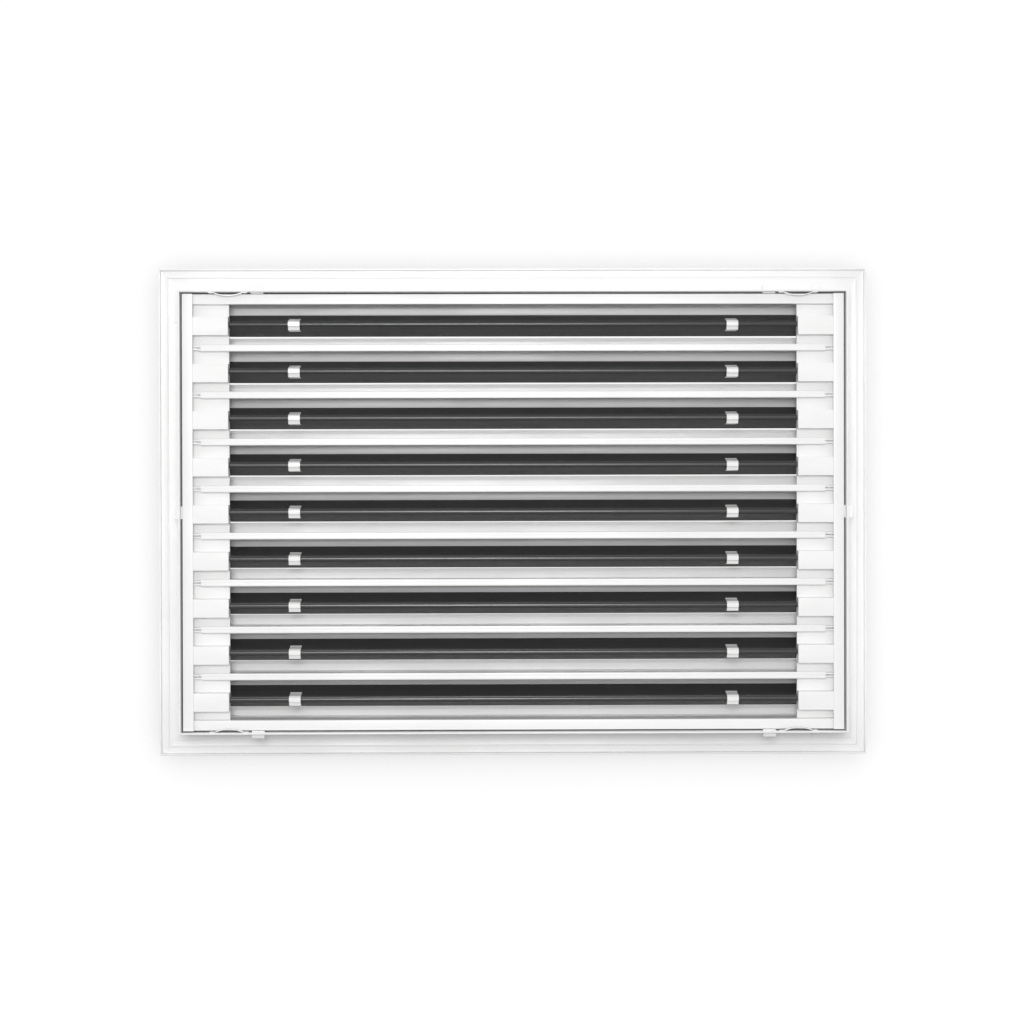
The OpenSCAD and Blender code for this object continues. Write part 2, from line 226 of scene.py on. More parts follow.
def make_piece(name: str, shells: list[Shell], crease: float = 32.0) -> bpy.types.Object:
    """Makes one object from closed skins.

    Args:
        name: the object's name.
        shells: its skins, in millimetres.
        crease: angle in degrees past which an edge stays sharp.

    Returns:
        The object, at the origin, with its place in its mesh.
    """
    points: list[np.ndarray] = []
    faces: list[list[int]] = []
    first = 0
    for shell in shells:
        points.append(shell.points)
        faces.extend((shell.quads + first).tolist())
        faces.extend((cap + first).tolist() for cap in shell.caps)
        first += len(shell.points)
    mesh = bpy.data.meshes.new(name)
    mesh.from_pydata((np.concatenate(points) * MM).tolist(), [], faces)
    work = bmesh.new()
    work.from_mesh(mesh)
    bmesh.ops.recalc_face_normals(work, faces=work.faces)
    work.to_mesh(mesh)
    work.free()
    mesh.shade_smooth()
    mesh.set_sharp_from_angle(angle=math.radians(crease))
    piece = bpy.data.objects.new(name, mesh)
    bpy.context.scene.collection.objects.link(piece)
    return piece


def rub_ribs(piece: bpy.types.Object, axis: np.ndarray, radius: float) -> None:
    """Marks how far each point is rubbed to a shine, in an attribute called rub.

    The mark is 1 within a radius of an axis along X, and falls to 0 over the next half millimetre.

    Args:
        piece: the piece.
        axis: Y and Z of the axis in millimetres.
        radius: the radius in millimetres.
    """
    mesh = piece.data
    places = np.empty(len(mesh.vertices) * 3)
    mesh.vertices.foreach_get("co", places)
    places = places.reshape(-1, 3)[:, 1:] / MM
    away = np.linalg.norm(places - axis, axis=1)
    mark = np.clip((radius + 0.5 - away) / 0.5, 0.0, 1.0)
    mesh.attributes.new("rub", "FLOAT", "POINT").data.foreach_set("value", mark.astype(np.float32))


def soften_edges(piece: bpy.types.Object, width: float) -> None:
    """Rounds a piece's sharp edges by a width in millimetres.

    Args:
        piece: the piece to round.
        width: width of the rounding, in millimetres.
    """
    bevel = piece.modifiers.new("edge_rounding", "BEVEL")
    bevel.width = width * MM
    bevel.segments = 2
    bevel.limit_method = "ANGLE"
    bevel.angle_limit = math.radians(50.0)
    bevel.harden_normals = False


# Shader arithmetic


class Amount:
    """A number that varies over a surface: a node socket that takes part in ordinary arithmetic."""

    def __init__(self, book: NodeBook, socket: bpy.types.NodeSocket) -> None:
        """Wraps a socket of the tree that a node book is writing."""
        self.book = book
        self.socket = socket

    def _with(self, operation: str, first: object, second: object) -> Amount:
        """Adds one Math node."""
        return self.book.amount("ShaderNodeMath", {"operation": operation}, {0: first, 1: second})

    def __add__(self, other: object) -> Amount:
        """Sum."""
        return self._with("ADD", self, other)

    def __radd__(self, other: object) -> Amount:
        """Sum, with a plain number on the left."""
        return self._with("ADD", other, self)

    def __sub__(self, other: object) -> Amount:
        """Difference."""
        return self._with("SUBTRACT", self, other)

    def __rsub__(self, other: object) -> Amount:
        """Difference, with a plain number on the left."""
        return self._with("SUBTRACT", other, self)

    def __mul__(self, other: object) -> Amount:
        """Product."""
        return self._with("MULTIPLY", self, other)

    def __rmul__(self, other: object) -> Amount:
        """Product, with a plain number on the left."""
        return self._with("MULTIPLY", other, self)

    def above(self, low: float, high: float) -> Amount:
        """0 below a low value, 1 above a high one, with a smooth rise between them."""
        settings = {"interpolation_type": "SMOOTHSTEP"}
        return self.book.amount("ShaderNodeMapRange", settings, {0: self, 1: low, 2: high, 3: 0.0, 4: 1.0})


class NodeBook:
    """Writes the node tree of one material."""

    def __init__(self, name: str) -> None:
        """Starts an empty material with a Principled shader and an output.

        Args:
            name: the material's name.
        """
        self.material = bpy.data.materials.new(name)
        self.material.use_nodes = True
        self.tree = self.material.node_tree
        self.tree.nodes.clear()
        self.output = self.tree.nodes.new("ShaderNodeOutputMaterial")
        self.shader = self.tree.nodes.new("ShaderNodeBsdfPrincipled")
        self.tree.links.new(self.shader.outputs[0], self.output.inputs["Surface"])

    def node(self, kind: str, settings: dict, sockets: dict) -> bpy.types.Node:
        """Adds a node.

        Args:
            kind: the node's type.
            settings: its own settings, set before its sockets.
            sockets: a value or a link for each socket, by name or number.

        Returns:
            The new node.
        """
        made = self.tree.nodes.new(kind)
        for key, value in settings.items():
            setattr(made, key, value)
        for key, value in sockets.items():
            self.feed(made.inputs[key], value)
        return made

    def feed(self, target: bpy.types.NodeSocket, value: object) -> None:
        """Sets an input to a plain value, or links it to an amount or a socket.

        Args:
            target: the input to set.
            value: a plain value, an amount or a socket.
        """
        if isinstance(value, Amount):
            value = value.socket
        if isinstance(value, bpy.types.NodeSocket):
            self.tree.links.new(value, target)
        else:
            target.default_value = value

    def amount(self, kind: str, settings: dict, sockets: dict, output: int = 0) -> Amount:
        """Adds a node and gives one of its outputs as an amount."""
        return Amount(self, self.node(kind, settings, sockets).outputs[output])

    def place(self, stretch: tuple[float, float, float] = (1.0, 1.0, 1.0)) -> bpy.types.NodeSocket:
        """Object coordinates in metres, multiplied by a stretch along each axis."""
        where = self.node("ShaderNodeTexCoord", {}, {}).outputs["Object"]
        return self.node("ShaderNodeMapping", {}, {"Vector": where, "Scale": stretch}).outputs[0]

    def noise(self, per_metre: float, detail: float = 2.0,
              stretch: tuple[float, float, float] = (1.0, 1.0, 1.0)) -> Amount:
        """Soft noise from about 0.3 to 0.7, with so many grains to a metre."""
        sockets = {"Vector": self.place(stretch), "Scale": per_metre, "Detail": detail}
        return self.amount("ShaderNodeTexNoise", {}, sockets)

    def tint(self, mask: Amount, low: tuple, high: tuple) -> bpy.types.NodeSocket:
        """A colour between two, by a mask from 0 to 1.

        Args:
            mask: how far the colour goes from the first to the second.
            low: colour where the mask is 0.
            high: colour where the mask is 1.

        Returns:
            the socket that carries the colour.
        """
        settings = {"data_type": "RGBA"}
        sockets = {"Factor": mask, 6: (*low, 1.0), 7: (*high, 1.0)}
        return self.node("ShaderNodeMix", settings, sockets).outputs[2]

    def relief(self, height: Amount, depth: float) -> bpy.types.NodeSocket:
        """Normals of a relief of some depth in millimetres."""
        sockets = {"Height": height, "Distance": depth * MM, "Strength": 1.0}
        return self.node("ShaderNodeBump", {}, sockets).outputs[0]

    def dress(self, values: dict) -> bpy.types.Material:
        """Sets or links the shader's inputs by name, and returns the material.

        Args:
            values: plain values, amounts or sockets, by the input's name.

        Returns:
            the finished material.
        """
        for key, value in values.items():
            self.feed(self.shader.inputs[key], value)
        return self.material


# Finishes


@dataclass(frozen=True)
class PowderCoat:
    """Satin powder coat on metal: a fine orange peel, a slow change of gloss and a trace of handling dust."""

    name: str
    colour: tuple[float, float, float]
    dusty: tuple[float, float, float]
    roughness: float = 0.42
    peel_per_metre: float = 520.0
    peel_depth: float = 0.035

    def material(self) -> bpy.types.Material:
        """Builds the coat's node tree.

        Returns:
            the finished material.
        """
        book = NodeBook(self.name)
        peel = book.noise(self.peel_per_metre, 2.0)
        grain = book.noise(self.peel_per_metre * 5.0, 1.0)
        slow = book.noise(9.0, 3.0).above(0.38, 0.66)
        speck = book.noise(240.0, 4.0).above(0.62, 0.74)
        return book.dress({
            "Base Color": book.tint(slow * 0.55 + speck * 0.45, self.colour, self.dusty),
            "Roughness": self.roughness + (slow - 0.5) * 0.10 + (grain - 0.5) * 0.12,
            "Normal": book.relief(peel + grain * 0.22, self.peel_depth),
            "Coat Weight": 0.12,
            "Coat Roughness": 0.22,
            "IOR": 1.5,
        })


@dataclass(frozen=True)
class MouldedPlastic:
    """Injection-moulded plastic: a fine spark-eroded grain, faint flow marks along X and a soft sheen."""

    name: str
    colour: tuple[float, float, float]
    shade: tuple[float, float, float]
    roughness: float
    grain_depth: float
    coat: float = 0.0

    def material(self) -> bpy.types.Material:
        """Builds the plastic's node tree.

        Returns:
            the finished material.
        """
        book = NodeBook(self.name)
        grain = book.noise(2400.0, 2.0)
        flow = book.noise(60.0, 3.0, (0.35, 1.0, 1.6)).above(0.36, 0.68)
        return book.dress({
            "Base Color": book.tint(flow, self.colour, self.shade),
            "Roughness": self.roughness + (flow - 0.5) * 0.07 + (grain - 0.5) * 0.10,
            "Normal": book.relief(grain, self.grain_depth),
            "Subsurface Weight": 0.08,
            "Subsurface Radius": (0.0012, 0.0011, 0.0010),
            "Coat Weight": self.coat,
            "Coat Roughness": 0.08,
            "IOR": 1.49,
        })


@dataclass(frozen=True)
class ExtrudedBlack:
    """Black extruded plastic: die lines along X, satin streaks, pale dust and ribs rubbed to a shine."""

    name: str
    colour: tuple[float, float, float]
    bloom: tuple[float, float, float]
    roughness: float
    rubbed: float = 0.27
    gloss: float = 0.42

    def material(self) -> bpy.types.Material:
        """Builds the extrusion's node tree.

        Returns:
            the finished material.
        """
        book = NodeBook(self.name)
        lines = book.noise(1300.0, 2.0, (0.0004, 1.0, 1.0))
        streak = book.noise(160.0, 2.0, (0.004, 1.0, 1.0)).above(0.36, 0.66)
        dust = book.noise(1500.0, 3.0).above(0.66, 0.74)
        cloud = book.noise(22.0, 3.0).above(0.40, 0.70)
        rub = book.amount("ShaderNodeAttribute", {"attribute_name": "rub"}, {}, 2)
        rough = self.roughness + (streak - 0.5) * 0.08 + dust * 0.10
        return book.dress({
            "Base Color": book.tint(streak * 0.4 + dust * cloud * 0.6, self.colour, self.bloom),
            "Roughness": rough + rub * (self.rubbed - self.roughness),
            "Normal": book.relief(lines, 0.0016),
            "Specular IOR Level": self.gloss,
            "IOR": 1.5,
        })


@dataclass(frozen=True)
class PlatedSteel:
    """Bright plated metal with fine turning marks and a few duller patches."""

    name: str
    colour: tuple[float, float, float]
    dull: tuple[float, float, float]
    metallic: float
    roughness: float

    def material(self) -> bpy.types.Material:
        """Builds the metal's node tree.

        Returns:
            the finished material.
        """
        book = NodeBook(self.name)
        marks = book.noise(1800.0, 2.0, (1.0, 0.15, 1.0))
        patch = book.noise(160.0, 3.0).above(0.40, 0.66)
        return book.dress({
            "Base Color": book.tint(patch, self.colour, self.dull),
            "Metallic": self.metallic,
            "Roughness": self.roughness + patch * 0.12 + (marks - 0.5) * 0.10,
            "Normal": book.relief(marks, 0.008),
        })


class Finish(Enum):
    """The finishes, each under the record's material slot that it belongs to."""

    FRAME = "frame_coat"
    CORE = "core_coat"
    SPRING = "spring_steel"
    RIVET = "rivet_metal"
    PLASTIC = "white_plastic"
    CLIP = "clip_plastic"
    SCREW = "screw_zinc"
    WING = "wing_black"


FINISH_MAKERS = {
    Finish.FRAME: PowderCoat("white_coat_frame", (0.87, 0.87, 0.87), (0.83, 0.83, 0.825)),
    Finish.CORE: PowderCoat("white_coat_core", (0.87, 0.87, 0.87), (0.83, 0.83, 0.825), 0.38, 560.0, 0.03),
    Finish.SPRING: PlatedSteel("white_spring_steel", (0.86, 0.86, 0.86), (0.80, 0.80, 0.80), 0.15, 0.30),
    Finish.RIVET: PlatedSteel("white_rivet", (0.90, 0.90, 0.90), (0.80, 0.80, 0.80), 0.25, 0.34),
    Finish.PLASTIC: MouldedPlastic("white_moulding", (0.89, 0.89, 0.89), (0.87, 0.87, 0.865), 0.44, 0.010),
    Finish.CLIP: MouldedPlastic("white_clip", (0.88, 0.88, 0.87), (0.85, 0.85, 0.84), 0.22, 0.004, 0.5),
    Finish.SCREW: PlatedSteel("zinc_plate", (0.70, 0.71, 0.73), (0.56, 0.57, 0.58), 1.0, 0.26),
    Finish.WING: ExtrudedBlack("black_extrusion", (0.040, 0.040, 0.041), (0.062, 0.062, 0.063), 0.55),
}


class Workshop:
    """Holds the finishes and puts finished pieces on the frame."""

    def __init__(self, frame: dict) -> None:
        """Makes every finish once."""
        self.frame = frame
        self.materials = {finish: maker.material() for finish, maker in FINISH_MAKERS.items()}

    def fit(self, piece: bpy.types.Object, finish: Finish, body: str, nodes: list[str]) -> None:
        """Dresses a piece, sets it on its body and lets it stand for its CAD nodes.

        Args:
            piece: the finished piece.
            finish: its finish.
            body: the body that it moves with.
            nodes: the CAD nodes that it stands for.
        """
        piece.data.materials.append(self.materials[finish])
        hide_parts(*nodes)
        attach(piece, body)
        LOG.info("%s rides on %s, %d faces", piece.name, body, len(piece.data.polygons))

    def dress_node(self, node: str, finish: Finish) -> None:
        """Gives a CAD node that stays in view its finish.

        Args:
            node: the CAD node's name.
            finish: the finish to give it.
        """
        mesh = self.frame["nodes"][node].data
        mesh.materials.clear()
        mesh.materials.append(self.materials[finish])
        LOG.info("%s keeps its CAD shape", node)


# Sizes


@dataclass(frozen=True)
class Layout:
    """Driving sizes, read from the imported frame, in millimetres."""

    face_x: float
    face_z: float
    face_y: float
    rim_y: float
    neck_wall_z: float
    core_x: float
    core_z: float
    side_rear_y: float
    bar_rear_y: float
    pitch: float
    rows: int
    wing_half: float
    flange_overlap: float = 23.5
    wall: float = 1.6
    face_t: float = 1.6
    slot_lip: float = 9.5
    side_t: float = 1.5

    @staticmethod
    def read() -> Layout:
        """Reads the boxes of the CAD nodes.

        Returns:
            the sizes that every piece is fitted to.
        """
        top_low, top_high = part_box("frame_top")
        side_low, side_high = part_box("side_rail_right")
        first_low, first_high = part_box("core_bar_1")
        second_low, second_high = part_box("core_bar_2")
        wing_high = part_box("lower_wing_1")[1]
        return Layout(
            face_x=top_high.x / MM,
            face_z=top_high.z / MM,
            face_y=top_high.y / MM,
            rim_y=top_low.y / MM,
            neck_wall_z=top_low.z / MM,
            core_x=side_high.x / MM,
            core_z=side_high.z / MM,
            side_rear_y=side_low.y / MM,
            bar_rear_y=first_low.y / MM,
            pitch=(first_low.z + first_high.z - second_low.z - second_high.z) / 2 / MM,
            rows=9,
            wing_half=wing_high.x / MM,
        )

    @property
    def neck_z(self) -> float:
        """Outer face of the neck, above and below."""
        return self.face_z - self.flange_overlap

    @property
    def neck_x(self) -> float:
        """Outer face of the neck, left and right."""
        return self.face_x - self.flange_overlap

    @property
    def web_end_x(self) -> float:
        """Inner face of the side rails' webs."""
        return self.core_x - self.side_t

    @property
    def rear_of_face(self) -> float:
        """Rear surface of the face flanges."""
        return self.face_y - self.face_t

    def slot_z(self, k: int) -> float:
        """Middle of slot k, counted from the top."""
        return self.pitch * ((self.rows + 1) / 2 - k)


# Outer frame


@dataclass
class OuterFrame:
    """Mitred frame with its neck, corner keys, bow springs, rivets and guide studs."""

    size: Layout
    shop: Workshop
    lip_t: float = 1.5
    rib_in: float = 7.4
    rib_w: float = 1.0
    rib_h: float = 1.4
    step_h: float = 0.8
    step_w: float = 1.2
    mitre_gap: float = 0.04
    key_leg: float = 27.0
    key_w: float = 8.0
    key_t: float = 1.2
    key_gap: float = 2.0
    stake_in: float = 7.0
    spring_x: float = 252.4
    spring_y: float = -42.0
    spring_half: float = 17.5
    spring_crest: float = 3.7
    spring_t: float = 0.8
    spring_strip: float = 5.0
    spring_foot: float = 4.4
    rivet_in: float = 2.4
    stud_x: float = 227.0
    stud_w: float = 11.2
    stud_y: float = -36.0
    body: str = "frame"

    def section(self, neck: float, outer: float) -> np.ndarray:
        """Outline of the frame extrusion as [Y, distance outwards], with its edges rounded.

        Args:
            neck: distance from the middle to the neck's outer face.
            outer: distance from the middle to the flange's edge.

        Returns:
            the outline's points, as [Y, distance outwards] in millimetres.
        """
        rear = self.size.rear_of_face
        rib = outer - self.rib_in
        corners = [
            (self.size.rim_y, neck - self.size.wall, 0.5),
            (self.size.rim_y, neck, 0.5),
            (rear - self.step_h, neck, 0.3),
            (rear - self.step_h, neck + self.step_w, 0.25),
            (rear, neck + self.step_w, 0.2),
            (rear, rib - self.rib_w, 0.3),
            (rear - self.rib_h, rib - self.rib_w, 0.35),
            (rear - self.rib_h, rib, 0.35),
            (rear, rib, 0.3),
            (rear, outer - self.lip_t, 0.6),
            (0.0, outer - self.lip_t, 0.4),
            (0.0, outer, 0.4),
            (self.size.face_y, outer, 1.6),
            (self.size.face_y, neck - self.size.wall, 0.5),
        ]
        return outline_of(corners)

    def rail(self, neck: float, outer: float, shorten: float) -> Shell:
        """One mitred rail that runs along X at a distance outwards along Z.

        Its half length at a distance d outwards is d less a fixed shortening, so both ends are cut at 45
        degrees.

        Args:
            neck: distance of the neck's outer face from the middle.
            outer: distance of the face's outer edge from the middle.
            shorten: how much less than d the half length is.

        Returns:
            The rail's skin.
        """
        outline = self.section(neck, outer)
        half = outline[:, 1] - shorten - self.mitre_gap
        rings = along_x(outline, [-1.0, 1.0])
        rings[:, :, 0] *= half[None]
        return tube(rings)

    def build_rails(self) -> None:
        """Makes the four frame extrusions."""
        size = self.size
        spread = size.face_x - size.face_z
        top = self.rail(size.neck_z, size.face_z, -spread)
        right = self.rail(size.neck_x, size.face_x, spread).swapped(0, 2)
        shapes = {"top": top, "bottom": top.mirrored(2), "right": right, "left": right.mirrored(0)}
        for side, shell in shapes.items():
            piece = make_piece(f"frame_{side}_extrusion", [shell])
            self.shop.fit(piece, Finish.FRAME, self.body, [f"frame_{side}"])

    def build_keys(self) -> None:
        """Makes the four flat corner keys, each with a stake mark in both legs."""
        size = self.size
        x0, z0 = size.neck_x + self.key_gap, size.neck_z + self.key_gap
        leg, width = self.key_leg, self.key_w
        corners = np.array([
            (x0 - leg, z0), (x0, z0), (x0, z0 - leg), (x0 + width, z0 - leg), (x0 + width, z0 + width),
            (x0 - leg, z0 + width),
        ])
        outline = rounded(corners, np.array([1.2, 0.8, 1.2, 1.2, 2.5, 1.2]))
        rear = size.rear_of_face
        plate = tube(along_y(outline, [rear - self.key_t, rear]))
        mark = turned(np.array([(0.2, 0.3), (0.8, 0.26), (1.3, 0.1), (1.45, -0.2)])).swapped(1, 2).mirrored(1)
        corner = [
            plate,
            mark.moved(x0 - leg + self.stake_in, rear - self.key_t, z0 + width / 2),
            mark.moved(x0 + width / 2, rear - self.key_t, z0 - leg + self.stake_in),
        ]
        right = corner + [s.mirrored(2) for s in corner]
        piece = make_piece("flat_corner_keys", right + [s.mirrored(0) for s in right])
        soften_edges(piece, 0.18)
        self.shop.fit(piece, Finish.FRAME, self.body, ["corner_keys"])

    def bow(self) -> Shell:
        """Bow spring on the top neck wall, centred on X.

        The strip's lower edge is the circle z = c - sqrt(R^2 - x^2) where that lies below the feet, and its
        upper edge is the same circle with the strip's thickness taken off its radius.

        Returns:
            The spring's skin.
        """
        wall = self.size.neck_z - self.size.wall
        half = self.spring_half - self.spring_foot
        rise = self.spring_crest - self.spring_t
        radius = (half**2 + rise**2) / (2 * rise)
        centre = wall - self.spring_t - rise + radius
        x = np.linspace(-self.spring_half, self.spring_half, 61)
        lower = np.minimum(centre - np.sqrt(radius**2 - np.minimum(x**2, radius**2)), wall - self.spring_t)
        inner = radius - self.spring_t
        upper = np.minimum(centre - np.sqrt(np.maximum(inner**2 - x**2, 0.0)), wall)
        upper = np.maximum(upper, lower + self.spring_t * 0.9)
        outline = np.concatenate([np.stack([x, lower], -1), np.stack([x, upper], -1)[::-1]])
        half_strip = self.spring_strip / 2
        return tube(along_y(outline, [self.spring_y - half_strip, self.spring_y + half_strip]))

    def build_springs(self) -> None:
        """Makes the four bow springs and their rivets."""
        rivet_x = self.spring_half - self.rivet_in
        wall = self.size.neck_z - self.size.wall
        bow = self.bow()
        head = np.array([(0.3, -1.35), (1.0, -1.28), (1.5, -1.05), (1.75, -0.8)])
        shank = np.array([(1.0, -0.8), (1.0, self.size.wall)])
        tail = np.array([(1.75, self.size.wall), (1.6, self.size.wall + 0.35), (1.2, self.size.wall + 0.6)])
        rivet = turned(np.concatenate([head, shank, tail]))
        rivets: list[Shell] = []
        for side, sign_x in (("left", -1), ("right", 1)):
            top = bow.moved(x=sign_x * self.spring_x)
            for level, shell in (("top", top), ("bottom", top.mirrored(2))):
                piece = make_piece(f"bow_spring_{level}_{side}", [shell], 25.0)
                soften_edges(piece, 0.2)
                self.shop.fit(piece, Finish.SPRING, self.body, [f"spring_{level}_{side}"])
            for step in (-1, 1):
                placed = rivet.moved(sign_x * self.spring_x + step * rivet_x, self.spring_y, wall)
                rivets += [placed, placed.mirrored(2)]
        self.shop.fit(make_piece("bow_spring_rivets", rivets), Finish.RIVET, self.body, ["spring_rivets"])

    def stud(self, neck: float, gap: float) -> np.ndarray:
        """Outline of a guide stud as [Y, distance outwards].

        Args:
            neck: distance from the middle to the neck's outer face.
            gap: width of the gap between neck and core.

        Returns:
            the outline's points, as [Y, distance outwards] in millimetres.
        """
        y = self.stud_y
        foot, rest = neck - self.size.wall - gap + 0.35, neck + 0.05
        corners = [
            (y - 2.4, foot, 0.4), (y - 2.4, rest, 0.1), (y - 3.6, rest, 0.3), (y - 3.1, neck + 3.2, 0.8),
            (y - 1.8, neck + 4.4, 0.8), (y + 1.8, neck + 4.4, 0.8), (y + 3.1, neck + 3.2, 0.8),
            (y + 3.6, rest, 0.3), (y + 2.4, rest, 0.1), (y + 2.4, foot, 0.4),
        ]
        return outline_of(corners)

    def build_studs(self) -> None:
        """Makes the six guide studs that pass through the neck."""
        size = self.size
        gap_z = size.neck_z - size.wall - size.core_z
        gap_x = size.neck_x - size.wall - size.core_x
        half = self.stud_w / 2
        over = tube(along_x(self.stud(size.neck_z, gap_z), [self.stud_x - half, self.stud_x + half]))
        beside = tube(along_x(self.stud(size.neck_x, gap_x), [-half, half])).swapped(0, 2)
        pair = [over, over.mirrored(0)]
        shells = pair + [s.mirrored(2) for s in pair] + [beside, beside.mirrored(0)]
        piece = make_piece("neck_guide_studs", shells)
        soften_edges(piece, 0.35)
        self.shop.fit(piece, Finish.PLASTIC, self.body, ["guide_studs"])

    def build(self) -> None:
        """Makes every piece of the outer frame."""
        self.build_rails()
        self.build_keys()
        self.build_springs()
        self.build_studs()


# Core


@dataclass
class Core:
    """Removable core: top, bottom and side rails, slot bars and end blocks."""

    size: Layout
    shop: Workshop
    bead_w: float = 6.2
    bead_t: float = 3.0
    web_w: float = 4.4
    web_rear_in: float = 1.6
    slit_w: float = 1.0
    slit_depth: float = 4.6
    lip_w: float = 3.0
    lip_h: float = 1.2
    side_face_w: float = 9.3
    front_border: float = 11.6
    bead_stop: float = 6.6
    block_x: float = 252.5
    floor_y: float = -31.6
    plate_t: float = 4.0
    plug_x: float = 259.5
    base_front_y: float = -14.0
    boss_up: float = 6.7
    boss_down: float = 9.8
    body: str = "core"

    @property
    def border_x(self) -> float:
        """Inner edge of the side rails' border on the face."""
        return self.size.core_x - self.front_border

    @property
    def rail_in_x(self) -> float:
        """Inner edge of the side rails' rear face."""
        return self.size.core_x - self.side_face_w

    @property
    def rail_in_z(self) -> float:
        """Inner face of the top and bottom rails."""
        return self.size.pitch * self.size.rows / 2 - self.bead_w / 2

    def build_long_rails(self) -> None:
        """Makes the top and bottom rails: a box at the back and a flange with a raised lip on the face."""
        size = self.size
        rear = size.rear_of_face
        lip = size.slot_z(1) + size.slot_lip
        corners = [
            (size.bar_rear_y, self.rail_in_z, 0.6), (rear, self.rail_in_z, 0.5),
            (rear, lip + self.lip_w, 0.8), (rear - self.lip_h, lip, 0.15), (size.face_y, lip, 0.5),
            (size.face_y, size.core_z, 0.5), (size.bar_rear_y, size.core_z, 0.6),
        ]
        top = tube(along_x(outline_of(corners), [-size.web_end_x, size.web_end_x]))
        for side, shell in (("top", top), ("bottom", top.mirrored(2))):
            piece = make_piece(f"core_{side}_box_rail", [shell])
            self.shop.fit(piece, Finish.CORE, self.body, [f"core_rail_{side}"])

    def build_side_rails(self) -> None:
        """Makes the side channels, whose border on the face stops at the flanges of the long rails."""
        size = self.size
        rear = size.rear_of_face
        stop = size.slot_z(1) + size.slot_lip - 0.02
        sections = {}
        for name, inner in (("border", self.border_x), ("plain", size.web_end_x - 0.03)):
            corners = [
                (self.rail_in_x, size.side_rear_y, 0.5), (size.core_x, size.side_rear_y, 0.5),
                (size.core_x, size.face_y, 0.5), (inner, size.face_y, 0.4), (inner, rear, 0.2),
                (size.web_end_x, rear, 0.2), (size.web_end_x, size.side_rear_y + 1.5, 0.4),
                (self.rail_in_x, size.side_rear_y + 1.5, 0.3),
            ]
            sections[name] = outline_of(corners)
        places = [
            ("plain", -size.core_z), ("plain", -stop), ("border", -stop), ("border", stop), ("plain", stop),
            ("plain", size.core_z),
        ]
        rings = np.concatenate([along_z(sections[name], [z]) for name, z in places])
        right = tube(rings)
        for side, shell in (("right", right), ("left", right.mirrored(0))):
            piece = make_piece(f"core_{side}_channel", [shell])
            self.shop.fit(piece, Finish.CORE, self.body, [f"side_rail_{side}"])

    def bar_section(self, bead: bool, flange: bool) -> np.ndarray:
        """Outline of a slot bar as [Y, Z] about its own middle.

        All sections have the same corners in the same order, so that a ring of one joins a ring of another.
        Where the bead is milled away, the rear edge falls back to the web and shows the screw port's slit.

        Args:
            bead: whether the bead along the rear edge is there.
            flange: whether the flange on the face is there.

        Returns:
            The points of the outline.
        """
        size = self.size
        web = self.web_w / 2
        rear = size.bar_rear_y
        face_rear = size.rear_of_face
        lip = size.pitch / 2 - size.slot_lip
        if bead:
            upper = [(rear, self.slit_w / 2, 0.01), (rear, self.bead_w / 2, 0.9),
                     (rear + self.bead_t, self.bead_w / 2, 0.4), (rear + self.bead_t, web, 0.3)]
            pocket = rear + 0.02
        else:
            back = rear + self.web_rear_in
            upper = [(back, self.slit_w / 2, 0.15), (back, web, 0.3)]
            upper += [(back + 1.2, web, 0.1), (back + 1.4, web, 0.1)]
            pocket = back + self.slit_depth
        if flange:
            upper += [(face_rear, web, 0.5), (face_rear, lip - self.lip_w, 0.8),
                      (face_rear - self.lip_h, lip, 0.15), (size.face_y, lip, 0.5)]
        else:
            upper += [(face_rear - short, web, 0.01) for short in (0.06, 0.04, 0.02, 0.0)]
        lower = [(y, -z, cut) for y, z, cut in reversed(upper)]
        slit = [(pocket, -self.slit_w / 2, 0.01), (pocket, self.slit_w / 2, 0.01)]
        return outline_of(upper + lower + slit)

    def build_bars(self) -> None:
        """Makes the slot bars. Bead, flange and web end at three places."""
        size = self.size
        bead_end = self.rail_in_x - self.bead_stop
        stations = [
            (size.web_end_x, False, False), (self.border_x, False, False), (self.border_x, False, True),
            (bead_end, False, True), (bead_end, True, True),
        ]
        half = [along_x(self.bar_section(bead, flange), [x])[0] for x, bead, flange in stations]
        flip = np.array([-1.0, 1.0, 1.0])
        rings = np.stack([ring * flip for ring in half] + half[::-1])
        bar = tube(rings)
        for i in range(1, size.rows):
            z = (size.slot_z(i) + size.slot_z(i + 1)) / 2
            piece = make_piece(f"slot_bar_{i}", [bar.moved(z=z)])
            self.shop.fit(piece, Finish.CORE, self.body, [f"core_bar_{i}"])

    def boss_section(self, up: float, down: float, boss_y: float, front: float) -> np.ndarray:
        """Outline of an end block's plate and boss as [Y, Z] about its slot's middle.

        Args:
            up: reach of the plate above the middle.
            down: reach of the plate below the middle.
            boss_y: rear face of the boss.
            front: front face of the plate.

        Returns:
            The points of the outline.
        """
        corners = [
            (boss_y, self.boss_up, 0.5), (boss_y, -self.boss_down, 0.5), (self.floor_y, -self.boss_down, 0.5),
            (self.floor_y, -down, 0.4), (front, -down, 0.5), (front, up, 0.5), (self.floor_y, up, 0.4),
            (self.floor_y, self.boss_up, 0.5),
        ]
        return outline_of(corners)

    def plug_section(self, up: float, down: float, front: float) -> np.ndarray:
        """Outline of the deep part of an end block, down to its plug in the slot, as [Y, Z].

        Args:
            up: reach above the slot's middle.
            down: reach below the slot's middle.
            front: where the plug's front lies along Y.

        Returns:
            the outline's points, as [Y, Z] in millimetres.
        """
        plug = self.size.slot_lip - 0.25
        plate = self.floor_y + self.plate_t - 0.1
        corners = [
            (plate, up - 0.02, 0.3), (plate, 0.02 - down, 0.3), (self.base_front_y, -down, 0.5),
            (self.base_front_y, -plug, 0.3), (front, -plug, 0.6), (front, plug, 0.6),
            (self.base_front_y, plug, 0.3), (self.base_front_y, up, 0.5),
        ]
        return outline_of(corners)

